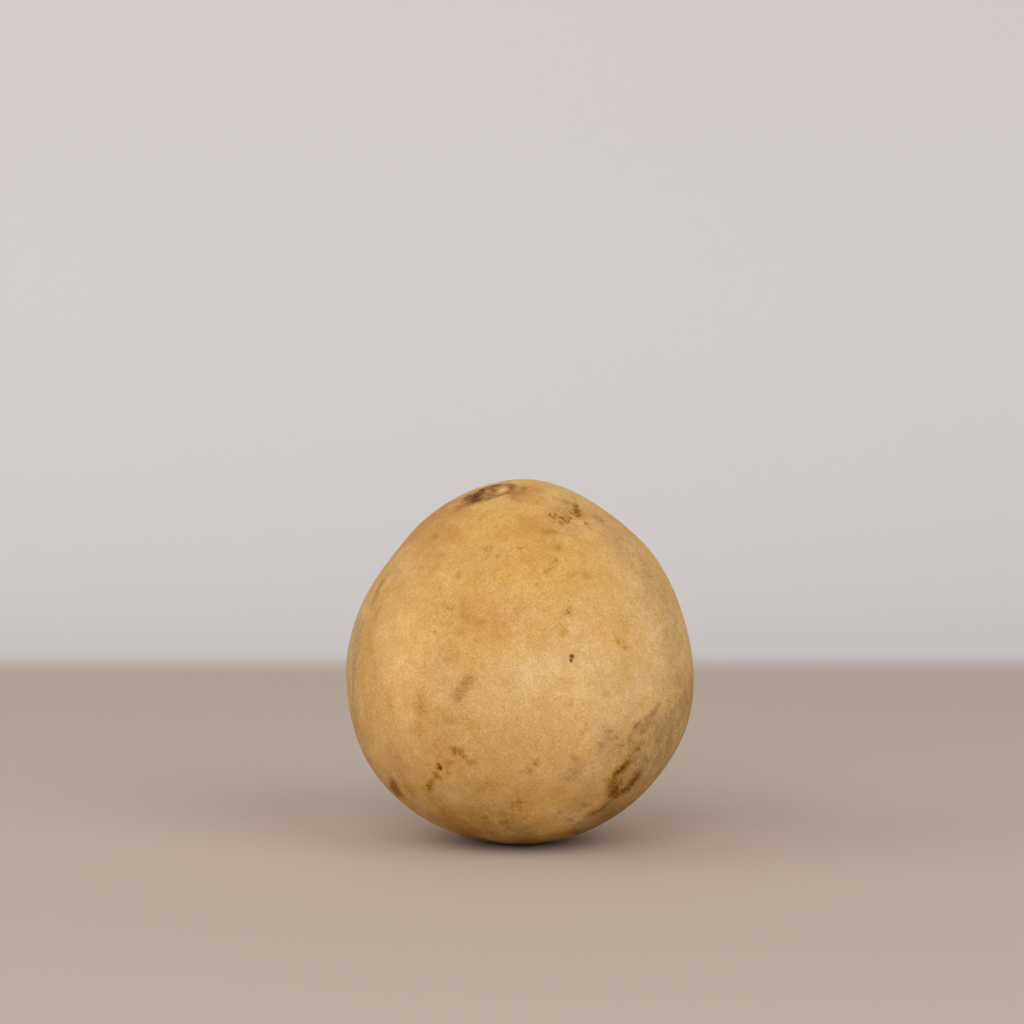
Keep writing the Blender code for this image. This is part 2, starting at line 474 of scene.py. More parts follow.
# Streaks: width in millimetres, strength, and the azimuths and elevations that each one runs through
STREAKS = {}
STREAKS["crease"] = (
    (1.8, 0.22, (44, -23.2), (40.2, -25.5), (40, -28.7)),
    (2.2, 0.8, (40, -28.7), (37, -32.1), (36.6, -34.6)),
    (3, 0.45, (36.6, -34), (38.4, -37), (40.9, -40), (42.8, -42.6)),
    (2.8, 0.55, (49.4, -34.2), (48.6, -36.4), (48.5, -39), (45.2, -40.6)),
    (1.6, 0.65, (42.8, -42.6), (41.4, -45.6), (41.2, -48.2), (37.5, -51)),
    (2.2, 0.7, (148, -8), (152, -14), (150, -21), (156, -27)),
    (2, 0.6, (-118, -30), (-124, -35), (-133, -36)),
)
STREAKS["olive"] = (
    (2.2, 0.65, (40, -28.7), (37, -32.1), (36.6, -34.8), (38.4, -37.5), (40.5, -39.6)),
    (1.1, 0.45, (-29.6, -29), (-33, -32.5), (-36, -35), (-38.5, -38.5)),
    (1.3, 0.2, (-22.2, -22.8), (-20.2, -24.4), (-16.8, -26.4)),
    (2.4, 0.85, (40, -38.6), (41.6, -41), (42.8, -43)),
    (1.4, 0.75, (42.6, 61.6), (45.6, 64.4), (49.4, 66.4)),
    (2.2, 0.7, (49.2, -34.6), (48.6, -36.4), (48.5, -39), (45.2, -40.6), (42.7, -41)),
)
STREAKS["bruise"] = (
    (1.5, 0.45, (49.8, -10.4), (48.5, -12.2), (45.2, -13.8), (42.8, -15), (40.8, -16.2)),
    (1.3, 0.3, (40.8, -16.2), (38.8, -19.3), (39, -23.3)),
    (1.1, 0.6, (-46.5, 67.8), (-52, 66.6), (-59, 64.6)),
    (2.6, 0.5, (-20.4, -4.8), (-18.9, -3), (-16.8, 0.2)),
)

# Patches: how wide the edge fades in millimetres, strength, and the corners of the outline
PATCHES = {}
PATCHES["scuff"] = (
    (
        1.6, 0.62,
        (63, -8), (55, -10.5), (50.2, -12.6), (45.2, -14.2), (40.6, -16.1), (38.4, -19.5),
        (39.2, -23.5), (41, -27.5), (38, -30.5), (36, -36), (38.5, -42), (37, -47), (31, -50),
        (32, -58), (48, -70), (66, -69), (78, -56), (84, -44), (80, -33), (86, -21), (78, -13),
        (70, -6),
    ),
    (
        7, 0.5,
        (66, -8), (78, -1), (92, -9), (99, -21), (95, -34), (102, -47), (88, -62), (68, -66), (60, -40),
    ),
    (3, 0.36, (25.5, -16), (30, -14.6), (34, -17), (38, -20), (36, -26.4), (30.8, -25.8), (26, -22.5)),
    (2.4, 0.3, (19, -41.5), (30, -40.5), (37, -47), (35, -54), (24, -53)),
    (2, 0.7, (142, -25), (150, -16), (162, -18), (172, -28), (170, -42), (155, -48), (142, -40)),
    (2, 0.5, (-112, 40), (-100, 47), (-88, 40), (-91, 28), (-104, 25)),
)
PATCHES["olive"] = (
    (1.6, 0.3, (40.5, -30), (48, -33), (48.5, -38.5), (42, -41), (38, -36.5), (38, -32.5)),
)

# The stem scar's dark lines in its own plane: width in millimetres, strength, and the places that each
# one runs through, to the right and away in millimetres
STEM_LINES = (
    # The first two run along the groove inside the rim: dirt in it, and painted shade there
    (1.5, 0.75, (-4.1, -2.6), (-2.2, -2.9), (-0.4, -2.6), (1.3, -2.3), (2.6, -1.9), (3.7, -1.8)),
    (1.6, 0.68, (0.6, 4.3), (2.2, 4.1), (3.6, 3.9), (4.5, 2.6), (4.5, 0.3), (3.9, -1.8)),
    (2.3, 1, (-1.8, 4.1), (-2.7, 3.3), (-3.3, 2.4)),
    (3.1, 1.2, (-3.3, 2.2), (-3.4, 0.8), (-3.2, -0.4), (-3.5, -1.4)),
    (1.6, 0.9, (-3.3, -1.3), (-4, -1.9), (-4.3, -2.4)),
    (1.7, 0.5, (-0.6, 4.4), (0.5, 3), (0.9, 1.6), (0.8, 0)),
    (1.2, 0.4, (-2.2, -0.6), (-0.6, 0.4), (0.4, -0.6), (1, -2)),
)

# Its spots: place to the right and away, length and width in millimetres, and strength
STEM_DARK_SPOTS = (
    (-4.3, 0.2, 2, 4, 0.6),
    (-5, 1.8, 1.8, 3.2, 0.55),
)
STEM_PALE_SPOTS = (
    (2.7, 0.8, 2.9, 3.6, 1.25),
    (-1, -1.5, 1, 1.2, 0.5),
    (-0.4, 2.6, 1.2, 1, 0.3),
)

# How steeply marks and patches fade at their edges: the higher, the flatter they are in the middle
MARK_EDGE = 2.6
PATCH_STEEPNESS = 4

# How deep marks sink in, in metres at strength 1
MARK_DEPTHS = {"crease": 0.10 * MM, "olive": 0.05 * MM, "bruise": 0.03 * MM, "char": 0.12 * MM}

# Irregular shifts of the marks' outlines: cell size and reach in metres
MARK_WANDER = ((0.0040, 0.0010), (0.0016, 0.0006))
WANDER_SEED = 7

# How much of these shifts a kind of mark takes, where that isn't all
WANDER_SHARES = {"char": 0.0, "olive": 0.35, "crease": 0.35, "bruise": 0.45, "deepening_and_painted_light": 0.35}

# Small marks at random places: how many, the least and most length in millimetres, and the least and
# most strength; and the least and most width as shares of the length
SCATTERED_MARKS = {
    "olive": (60, 1.2, 4.2, 0.15, 0.8),
    "bruise": (40, 1.5, 6.0, 0.15, 0.5),
    "char": (14, 0.4, 1.2, 0.4, 1.0),
}
SCATTER_WIDTHS = (0.4, 0.9)
SCATTER_SEED = 26

# Such a mark lies only where the skin's outward direction points less than this much to the camera
SEEN_LIMIT = 0.05

# Relief that a noise pattern gives: size of its cells and height, both in metres
RELIEF = {
    "unevenness": (0.0200, 0.00030),
    "dimples": (0.0042, 0.00010),
    "pebbling": (0.0015, 0.00003),
}


def length_value(name, description, default):
    """A length in metres that a user can change."""
    return FloatProperty(name=name, description=description, default=default, min=0.0, unit="LENGTH")


def colour_value(name, description, default):
    """A colour that a user can change."""
    return FloatVectorProperty(name=name, description=description, default=default, subtype="COLOR")


class GourdForm(PropertyGroup):
    """Sizes of the fruit."""

    height: length_value("Height", "From the flat spot to the crown", 0.0750)
    width: length_value("Width", "Across, at the widest level", 0.0716)
    depth: length_value("Depth", "Front to back, at the widest level", 0.0708)
    widest_level: length_value("Widest Level", "Height of the widest level", 0.0332)
    flat_depth: length_value("Flat Depth", "How much of the base the flat spot takes off", 0.0004)
    lobe_height: length_value("Lobe Height", "Height of the ten faint lobes", 0.00006)
    crown_taper: FloatProperty(
        name="Crown Taper",
        description="Share of its width that the crown has lost at the top",
        default=0.12,
        min=0.0,
        max=1.0,
        subtype="FACTOR",
    )


class RindColours(PropertyGroup):
    """Colours of the rind and of its scar, and the tints that marks lay over the rind."""

    ochre: colour_value("Ochre", "The plain rind", (0.815, 0.535, 0.228))
    mottle: colour_value("Mottle", "Tint of the deepest mottles", (0.715, 0.576, 0.361))
    gold: colour_value("Gold", "Yellower rind", (0.80, 0.515, 0.162))
    blush: colour_value("Blush", "Peachy tan rind", (0.74, 0.425, 0.168))
    # Also the colour of the painted light at the right of the foot
    bloom_and_painted_light: colour_value("Bloom", "Pale bloom", (0.895, 0.655, 0.362))
    # Also the tint of the painted shade under the foot
    shade: colour_value("Shade", "Tint of dull rind", (0.58, 0.54, 0.50))
    scuff: colour_value("Scuff", "Tint of scuffed rind", (0.64, 0.615, 0.705))
    olive: colour_value("Olive", "Tint of olive stains", (0.50, 0.38, 0.10))
    bruise: colour_value("Bruise", "Tint of bruises", (0.50, 0.38, 0.30))
    crease: colour_value("Crease", "Tint of creases", (0.56, 0.46, 0.17))
    char: colour_value("Char", "Tint of black specks", (0.24, 0.14, 0.07))
    cork: colour_value("Cork", "The stem scar", (0.46, 0.235, 0.085))
    pith: colour_value("Pith", "The stem scar's pale plug", (0.86, 0.56, 0.28))
    # Also the dirt and painted shade in the groove inside the scar's rim
    crack: colour_value("Crack", "The stem scar's dark cracks", (0.15, 0.065, 0.014))


class StageLook(PropertyGroup):
    """Colours of the stage, and the light from all round it."""

    floor_colour: colour_value("Floor", "The pale floor", (0.56, 0.462, 0.385))
    wall_colour: colour_value("Backdrop", "The pale backdrop", (0.80, 0.765, 0.755))
    ambient: FloatProperty(
        name="Ambient", description="Strength of the light from all round", default=0.3, min=0.0
    )


def direction(azimuth, elevation):
    """Unit vector at this azimuth and elevation in degrees; azimuth 0 faces the front, -Y."""
    turn = math.radians(azimuth)
    rise = math.radians(elevation)
    level = math.cos(rise)
    return np.array((math.sin(turn) * level, -math.cos(turn) * level, math.sin(rise)))


def unit(vectors):
    """The same vectors at length 1."""
    return vectors / np.linalg.norm(vectors, axis=-1, keepdims=True)


# The stem scar's own plane: its axis points out of the scar, and its right and away lie in the scar
STEM_AXIS = direction(STEM_AZIMUTH, STEM_ELEVATION)
SCAR_RIGHT = unit(np.cross((0.0, 1.0, 0.0), STEM_AXIS))
SCAR_AWAY = np.cross(STEM_AXIS, SCAR_RIGHT)


def bump(distance, breadth):
    """A smooth hump, 1 in the middle and nearly 0 past twice its breadth."""
    return np.exp(-((distance / breadth) ** 2))


def angle_from(outward, azimuth, elevation):
    """Angles between unit vectors and the direction at this azimuth and elevation."""
    return np.arccos(np.clip(outward @ direction(azimuth, elevation), -1, 1))


def middle_of(form):
    """The fruit's middle, from which all marks are aimed."""
    return np.array((0.0, 0.0, form.height / 2))


def egg_points(rays, form):
    """The plain egg's surface for unit vectors: an ellipsoid of two halves with a tapered crown."""
    up = rays[:, 2]
    crown = up > 0
    narrowing = np.where(crown, 1 - form.crown_taper * up**3, 1.0)
    reach = np.where(crown, form.height - form.widest_level, form.widest_level + form.flat_depth)
    across = rays[:, 0] * narrowing * form.width / 2
    along = rays[:, 1] * narrowing * form.depth / 2
    return np.stack((across, along, form.widest_level + up * reach), axis=1)


def swell_heights(outward, form):
    """How far the swells, hollows and lobes lift the skin along these unit vectors."""
    lift = np.zeros(len(outward))
    for azimuth, elevation, breadth, height in SWELLS.values():
        lift += height * bump(angle_from(outward, azimuth, elevation), math.radians(breadth))
    along = outward @ STEM_AXIS
    round_axis = np.arctan2(outward @ SCAR_AWAY, outward @ SCAR_RIGHT)
    return lift + form.lobe_height * np.cos(LOBES * round_axis) * (1 - along**2)


def scar_oval(right, away):
    """Places in the stem scar's plane, their distance and their angle, as if its oval were round."""
    right = (right - STEM_OVAL_SHIFT[0]) / STEM_OVAL[0]
    away = (away - STEM_OVAL_SHIFT[1]) / STEM_OVAL[1]
    return right, away, np.hypot(right, away), np.arctan2(away, right)


def rim_radius_at(around):
    """Distance of the stem scar's uneven rim from its middle, at these angles round it."""
    waves = sum(share * np.cos(count * around) for count, share in STEM_RIM_WAVES.items())
    return STEM_RIM_RADIUS * (1 + waves)


def vessel_pits(right, away):
    """A ring of small pits, where the stem's vessels broke off."""
    pits = np.zeros(len(right))
    for index in range(STEM_VESSELS):
        scatter = STEM_VESSEL_SCATTER * math.sin(index * STEM_VESSEL_SCATTER_TURN)
        around = math.tau * (index + scatter) / STEM_VESSELS
        place = STEM_VESSEL_RING * np.array((math.cos(around), math.sin(around)))
        pits = np.maximum(pits, bump(np.hypot(right - place[0], away - place[1]), STEM_VESSEL_RADIUS))
    return pits


def fibre_waves(distance, around):
    """The stem scar's radial fibres, as waves round its middle that sway a little."""
    sway = np.sin(STEM_FIBRE_BENDS * around + distance / STEM_VESSEL_RING)
    return np.cos(STEM_FIBRES * around + STEM_FIBRE_SWAY * sway)


def stem_scar_heights(right, away):
    """Relief of the stem scar at places in its own plane."""
    right, away, distance, around = scar_oval(right, away)
    rim_radius = rim_radius_at(around)
    lift = -STEM_HOLLOW_DEPTH * bump(distance, STEM_HOLLOW_RADIUS)
    lift += STEM_RIM_HEIGHT * bump(distance - rim_radius, STEM_RIM_BREADTH)
    lift -= STEM_FLOOR_DEPTH * bump(distance, rim_radius - STEM_RIM_BREADTH)
    pit = np.hypot(right - STEM_PIT_PLACE[0], away - STEM_PIT_PLACE[1])
    plug = np.hypot(right - STEM_PLUG_PLACE[0], away - STEM_PLUG_PLACE[1])
    lift -= STEM_PIT_DEPTH * bump(pit, STEM_PIT_RADIUS)
    lift += STEM_PLUG_HEIGHT * bump(plug, STEM_PLUG_RADIUS)
    lift -= STEM_GROOVE_DEPTH * bump(distance - rim_radius + STEM_GROOVE_INSET, STEM_GROOVE_BREADTH)
    lift -= STEM_VESSEL_DEPTH * vessel_pits(right, away)
    fibres = STEM_FIBRE_HEIGHT * fibre_waves(distance, around)
    return lift + fibres * bump(distance - rim_radius / 2, rim_radius / 3)


def blossom_scar_heights(distance):
    """Relief of the blossom scar at these distances from the growth axis."""
    ring = BLOSSOM_RING_HEIGHT * bump(distance - BLOSSOM_RING_RADIUS, BLOSSOM_RING_BREADTH)
    return ring + BLOSSOM_NUB_HEIGHT * bump(distance, BLOSSOM_NUB_RADIUS)


def skin_points(rays, form):
    """The skin's surface for unit vectors, before its marks and its finest relief."""
    middle = middle_of(form)
    points = egg_points(rays, form)
    outward = unit(points - middle)
    right = (points - middle) @ SCAR_RIGHT
    away = (points - middle) @ SCAR_AWAY
    lift = swell_heights(outward, form)
    near_stem = outward @ STEM_AXIS > 0
    lift += np.where(near_stem, stem_scar_heights(right, away), blossom_scar_heights(np.hypot(right, away)))
    return points + outward * lift[:, None]


def places_of(obj):
    """The places of an object's vertices, as rows of an array."""
    places = np.empty(len(obj.data.vertices) * 3)
    obj.data.vertices.foreach_get("co", places)
    return places.reshape(-1, 3)


def face_rows(obj, what):
    """The centres or normals of an object's faces, as rows of an array."""
    rows = np.empty(len(obj.data.polygons) * 3)
    obj.data.polygons.foreach_get(what, rows)
    return rows.reshape(-1, 3)


def move_to(obj, places):
    """Put an object's vertices at these places."""
    obj.data.vertices.foreach_set("co", places.ravel())
    obj.data.update()


def select_faces(obj, chosen):
    """Select just these faces of the active object, and go into edit mode with them."""
    bpy.ops.object.mode_set(mode="EDIT")
    bpy.ops.mesh.select_mode(type="FACE")
    bpy.ops.mesh.select_all(action="DESELECT")
    bpy.ops.object.mode_set(mode="OBJECT")
    obj.data.polygons.foreach_set("select", chosen)
    bpy.ops.object.mode_set(mode="EDIT")


def add_even_ball():
    """A ball of nearly even four-sided faces: a divided cube, blown up round and turned to the stem."""
    bpy.ops.object.select_all(action="DESELECT")
    bpy.ops.mesh.primitive_cube_add(size=2)
    ball = bpy.context.object
    bpy.ops.object.mode_set(mode="EDIT")
    bpy.ops.mesh.select_all(action="SELECT")
    bpy.ops.mesh.subdivide(number_cuts=FIRST_CUTS)
    bpy.ops.mesh.subdivide(number_cuts=SECOND_CUTS)
    bpy.ops.object.mode_set(mode="OBJECT")
    even = unit(np.tan(places_of(ball) * math.pi / 4))
    move_to(ball, even @ np.stack((SCAR_RIGHT, SCAR_AWAY, STEM_AXIS)))
    return ball


def refine_ball(ball, form):
    """Divide the faces again where the skin has its finest forms."""
    for azimuth, elevation, radius in FINE_PLACES:
        points = egg_points(unit(face_rows(ball, "center")), form)
        angle = angle_from(unit(points - middle_of(form)), azimuth, elevation)
        select_faces(ball, angle < math.radians(radius))
        bpy.ops.mesh.subdivide(number_cuts=1)
        bpy.ops.object.mode_set(mode="OBJECT")
        move_to(ball, unit(places_of(ball)))


def add_relief(skin, name, cell, height):
    """Raise and lower the skin a little by a noise pattern with cells of this size."""
    texture = bpy.data.textures.new(name, "CLOUDS")
    texture.noise_scale = cell
    texture.noise_depth = 1
    modifier = skin.modifiers.new(name, "DISPLACE")
    modifier.texture = texture
    modifier.texture_coords = "LOCAL"
    modifier.strength = height
    bpy.ops.object.modifier_apply(modifier=name)


def cut_flat_spot():
    """Cut the active object's base off level at z = 0 and close it with one flat face."""
    bpy.ops.object.mode_set(mode="EDIT")
    bpy.ops.mesh.select_all(action="SELECT")
    bpy.ops.mesh.bisect(
        plane_co=(0, 0, 0), plane_no=(0, 0, 1), use_fill=True, clear_inner=True, threshold=CUT_TOLERANCE
    )
    bpy.ops.object.mode_set(mode="OBJECT")


def sharpen_flat_spot(skin):
    """Mark the edge round the flat spot as sharp, so that the spot is shaded flat."""
    select_faces(skin, face_rows(skin, "normal")[:, 2] < FLAT_SPOT_NORMAL)
    bpy.ops.mesh.mark_sharp()
    bpy.ops.object.mode_set(mode="OBJECT")


def mark_field(outward, reach, azimuth, elevation, length, width, strength, turn=0):
    """How strongly a mark shows on skin that lies along these unit vectors, this far from the middle."""
    middle = direction(azimuth, elevation)
    right = unit(np.cross((0.0, 0.0, 1.0), middle))
    up = np.cross(middle, right)
    turn = math.radians(turn)
    x = reach * (outward @ right)
    y = reach * (outward @ up)
    along = x * math.cos(turn) + y * math.sin(turn)
    across = y * math.cos(turn) - x * math.sin(turn)
    spread = np.hypot(along / (length * MM / 2), across / (width * MM / 2))
    return np.where(outward @ middle > 0, strength * np.exp(-(spread**MARK_EDGE)), 0.0)


def gap_to_line(places, line):
    """Distance of places from a line that runs through these points."""
    gap = np.full(len(places), np.inf)
    for start, end in zip(line, line[1:]):
        run = end - start
        share = np.clip((places - start) @ run / (run @ run), 0, 1)
        gap = np.minimum(gap, np.linalg.norm(places - start - share[:, None] * run, axis=1))
    return gap


def streak_field(outward, reach, width, strength, *places):
    """The same for a streak that runs through its places."""
    line = np.array([direction(*place) for place in places])
    return strength * bump(gap_to_line(outward, line) * reach, width * MM / 2)


def patch_field(outward, reach, edge, strength, *corners):
    """The same for a patch with these corners: it is full inside its outline and fades across it."""
    outline = np.array(corners, dtype=float)
    squeeze = np.array((math.cos(math.radians(outline[:, 1].mean())), 1.0))
    azimuth = np.degrees(np.arctan2(outward[:, 0], -outward[:, 1]))
    elevation = np.degrees(np.arcsin(outward[:, 2]))
    places = np.stack((azimuth, elevation), axis=1) * squeeze
    outline = np.append(outline, outline[:1], axis=0) * squeeze
    inside = np.zeros(len(places), dtype=bool)
    for start, end in zip(outline, outline[1:]):
        passes = (start[1] > places[:, 1]) != (end[1] > places[:, 1])
        lean = (end[0] - start[0]) / (end[1] - start[1])
        inside ^= passes & (places[:, 0] < start[0] + lean * (places[:, 1] - start[1]))
    gap = np.radians(gap_to_line(places, outline)) * reach
    steepness = np.where(inside, -PATCH_STEEPNESS, PATCH_STEEPNESS)
    return strength / (1 + np.exp(steepness * gap / (edge * MM)))


def scattered_marks():
    """Small marks at random places where the skin turns away from the camera."""
    random = np.random.default_rng(SCATTER_SEED)
    towards = direction(0, CAMERA_ELEVATION)
    marks = {kind: [] for kind in SCATTERED_MARKS}
    for kind, (count, shortest, longest, faintest, strongest) in SCATTERED_MARKS.items():
        while len(marks[kind]) < count:
            outward = unit(random.normal(size=3))
            length = random.uniform(shortest, longest)
            width = length * random.uniform(*SCATTER_WIDTHS)
            turn = random.uniform(0, 180)
            strength = faintest + (strongest - faintest) * random.random() ** 2
            if outward @ towards < SEEN_LIMIT:
                azimuth = math.degrees(math.atan2(outward[0], -outward[1]))
                elevation = math.degrees(math.asin(outward[2]))
                marks[kind].append((azimuth, elevation, length, width, strength, turn))
    return marks


def wander(places):
    """Small irregular shifts of places, which give the marks their ragged outlines."""
    seed_set(WANDER_SEED)
    shifts = np.zeros(places.shape)
    for cell, reach in MARK_WANDER:
        shifts += reach * np.array([noise_vector(place / cell) for place in places])
    return shifts


def mark_fields(from_middle, shifts):
    """How strongly each kind of mark shows at these places, seen from the middle."""
    scattered = scattered_marks()
    fields = {}
    for kind, marks in MARKS.items():
        shifted = from_middle + WANDER_SHARES.get(kind, 1.0) * shifts
        reach = np.linalg.norm(shifted, axis=1)
        outward = shifted / reach[:, None]
        shares = [mark_field(outward, reach, *mark) for mark in (*marks, *scattered.get(kind, ()))]
        shares += [streak_field(outward, reach, *streak) for streak in STREAKS.get(kind, ())]
        shares += [patch_field(outward, reach, *patch) for patch in PATCHES.get(kind, ())]
        fields[kind] = np.sum(shares, axis=0) if kind == "deepening_and_painted_light" else np.max(shares, axis=0)
    return fields


def spots_field(right, away, spots):
    """How strongly oval spots show in the stem scar's own plane."""
    shares = []
    for middle_right, middle_away, length, width, strength in spots:
        along = (right - middle_right * MM) / (length * MM / 2)
        across = (away - middle_away * MM) / (width * MM / 2)
        shares.append(strength * bump(np.hypot(along, across), 1.0))
    return np.max(shares, axis=0)


def stem_scar_fields(right, away):
    """Where the stem scar is corky, cracked and pithy, at places in its own plane."""
    places = np.stack((right, away), axis=1)
    lines = []
    for width, strength, *points in STEM_LINES:
        lines.append(strength * bump(gap_to_line(places, np.array(points) * MM), width * MM / 2))
    dark = spots_field(right, away, STEM_DARK_SPOTS)
    pale = spots_field(right, away, STEM_PALE_SPOTS)
    right, away, distance, around = scar_oval(right, away)
    cork = 1 / (1 + np.exp((distance - rim_radius_at(around)) / STEM_CORK_EDGE))
    fibres = STEM_FIBRE_DARKNESS * (0.5 + 0.5 * fibre_waves(distance, around)) * cork
    crack = np.max((*lines, dark, fibres, STEM_VESSEL_DARKNESS * vessel_pits(right, away)), axis=0)
    return {"cork": cork, "crack": crack * (1 - STEM_PALE_CLEARING * np.minimum(pale, 1)), "pith": pale}


def shape_skin(skin, form):
    """Bring the ball to the gourd's form, sink its marks in and store how strongly each kind shows."""
    points = skin_points(places_of(skin), form)
    level = (points.min(axis=0) + points.max(axis=0)) / 2
    level[2] = 0.0
    from_middle = points - middle_of(form)
    outward = unit(from_middle)
    shifts = wander(from_middle)
    fields = mark_fields(from_middle, shifts)
    sinking = sum(depth * fields[kind] for kind, depth in MARK_DEPTHS.items())
    move_to(skin, points - outward * sinking[:, None] - level)
    shifted = from_middle + STEM_WANDER_SHARE * shifts
    for name, values in stem_scar_fields(shifted @ SCAR_RIGHT, shifted @ SCAR_AWAY).items():
        fields[name] = np.where(outward @ STEM_AXIS > 0, values, 0.0)
    for name, values in fields.items():
        layer = skin.data.attributes.new(name, "FLOAT", "POINT")
        layer.data.foreach_set("value", values.astype(np.float32))


class MESH_OT_egg_gourd_skin(Operator):
    """Model the gourd's whole skin, with the relief of its scars and marks"""

    bl_idname = "mesh.egg_gourd_skin"
    bl_label = "Egg Gourd Skin"

    def execute(self, context):
        form = context.scene.egg_gourd_form
        skin = add_even_ball()
        skin.name = skin.data.name = SKIN_NAME
        refine_ball(skin, form)
        shape_skin(skin, form)
        for name, (cell, height) in RELIEF.items():
            add_relief(skin, name, cell, height)
        cut_flat_spot()
        bpy.ops.object.shade_smooth()
        sharpen_flat_spot(skin)
        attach(skin, "root")
        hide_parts("egg_gourd")
        return {"FINISHED"}


def add_node(tree, kind, inputs=None, **settings):
    """A shader node with these settings; an input is a plain value or another node's output."""
    node = tree.nodes.new(kind)
    for name, value in settings.items():
        setattr(node, name, value)
    for name, value in (inputs or {}).items():
        if isinstance(value, bpy.types.NodeSocket):
            tree.links.new(value, node.inputs[name])
        else:
            node.inputs[name].default_value = value
    return node


def noise(tree, place, cell, detail, roughness, distortion):
    """A noise pattern with cells of this size in metres."""
    fineness = {"Scale": 1 / cell, "Detail": detail, "Roughness": roughness, "Distortion": distortion}
    return add_node(tree, "ShaderNodeTexNoise", {"Vector": place, **fineness}).outputs["Fac"]


def calculate(tree, operation, first, second):
    """The result of a sum, product or the like of two numbers."""
    return add_node(tree, "ShaderNodeMath", {0: first, 1: second}, operation=operation).outputs["Value"]


def weighted_sum(tree, parts):
    """The sum of numbers, each times its weight."""
    total = 0.0
    for value, weight in parts:
        total = calculate(tree, "ADD", total, calculate(tree, "MULTIPLY", value, weight))
    return total


def stretch(tree, value, low, high, bottom, top):
    """The number, spread from the range low to high over the range bottom to top."""
    inputs = {"Value": value, "From Min": low, "From Max": high, "To Min": bottom, "To Max": top}
    return add_node(tree, "ShaderNodeMapRange", inputs).outputs["Result"]


def blend(tree, kind, share, lower, upper):
    """Two colours, mixed or multiplied."""
    inputs = {"Factor": share, "A": lower, "B": upper}
    return add_node(tree, "ShaderNodeMix", inputs, data_type="RGBA", blend_type=kind).outputs["Result"]


def painted(tree, name, breakup=None):
    """The number that is stored on the mesh under this name, times the pattern that breaks it up, if any."""
    strength = add_node(tree, "ShaderNodeAttribute", attribute_name=name).outputs["Fac"]
    return strength if breakup is None else calculate(tree, "MULTIPLY", strength, breakup)


def stained(tree, colour, strength, tint):
    """A colour that darkens towards the tint as a stain grows stronger."""
    node = add_node(tree, "ShaderNodeValToRGB", {"Fac": strength})
    elements = node.color_ramp.elements
    while len(elements) < len(STAIN_STEPS):
        elements.new(1.0)
    for element, share in zip(elements, STAIN_STEPS):
        element.position = share
        element.color = [channel**share for channel in tint]
    return blend(tree, "MULTIPLY", 1.0, colour, node.outputs["Color"])


def new_material(name):
    """A new material, its node tree and its shader."""
    material = bpy.data.materials.new(name)
    material.use_nodes = True
    return material, material.node_tree, material.node_tree.nodes["Principled BSDF"]


def swaying_place(tree):
    """Places on the skin, swayed slowly so that no pattern looks regular."""
    place = tree.nodes.new("ShaderNodeTexCoord").outputs["Object"]
    sway = add_node(tree, "ShaderNodeTexNoise", {"Vector": place, "Scale": 1 / SWAY_CELL}).outputs["Color"]
    inputs = {0: sway, 1: (SWAY, SWAY, SWAY), 2: place}
    return add_node(tree, "ShaderNodeVectorMath", inputs, operation="MULTIPLY_ADD").outputs["Vector"]


def rind_colour(tree, patterns, colours):
    """Mottled ochre with patches, stains and specks, and a corky stem scar."""
    breaks = weighted_sum(tree, [(patterns[name], weight) for name, weight in BREAKS_MIX.items()])
    softness = stretch(tree, breaks, *SOFT_SPREAD)
    raggedness = stretch(tree, breaks, *RAGGED_SPREAD)
    patchiness = stretch(tree, patterns["leather"], *PATCHY_SPREAD)
    wear = stretch(tree, patterns["clouds"], *WORN_SPREAD)
    wisps = stretch(tree, patterns["wisps"], *WISP_SPREAD)

    colour = blend(tree, "MIX", wisps, colours["ochre"], colours["gold"])
    # Pale bloom, and the painted light at the right of the foot, are mixed in here
    for name in ("gold", "blush", "bloom_and_painted_light"):
        colour = blend(tree, "MIX", painted(tree, name, patchiness), colour, colours[name])
    # The shade stain is dirt, and also painted shade under the foot
    stains = {
        "shade": patchiness,
        "scuff": wear,
        "bruise": softness,
        "crease": softness,
        "olive": raggedness,
        "char": None,
    }
    for name, breakup in stains.items():
        colour = stained(tree, colour, painted(tree, name, breakup), colours[name])

    cork_share = stretch(tree, patterns["grain"], *CORK_SPREAD)
    cork = blend(tree, "MIX", cork_share, colours["cork"], colours["pith"])
    colour = blend(tree, "MIX", painted(tree, "cork"), colour, cork)
    colour = blend(tree, "MIX", painted(tree, "pith"), colour, colours["pith"])
    colour = blend(tree, "MIX", painted(tree, "crack", softness), colour, colours["crack"])

    # Paler marks lift the colour; at the right of the foot this is painted light
    deepening_and_painted_light = painted(tree, "deepening_and_painted_light")
    cloudy = stretch(tree, patterns["clouds"], *CLOUD_SPREAD)
    speckled = stretch(tree, patterns["speckles"], *SPECKLE_SPREAD)
    blotched = stretch(tree, patterns["leather"], *BLOTCH_SPREAD)
    deeper = calculate(tree, "MAXIMUM", deepening_and_painted_light, 0.0)
    mottling = weighted_sum(tree, [(part, 1.0) for part in (cloudy, speckled, blotched, deeper)])
    colour = stained(tree, colour, mottling, colours["mottle"])
    paler = calculate(tree, "MULTIPLY", calculate(tree, "MINIMUM", deepening_and_painted_light, 0.0), PALE_LIFT)
    inputs = {0: colour, "Scale": calculate(tree, "SUBTRACT", 1.0, paler)}
    return add_node(tree, "ShaderNodeVectorMath", inputs, operation="SCALE").outputs["Vector"]


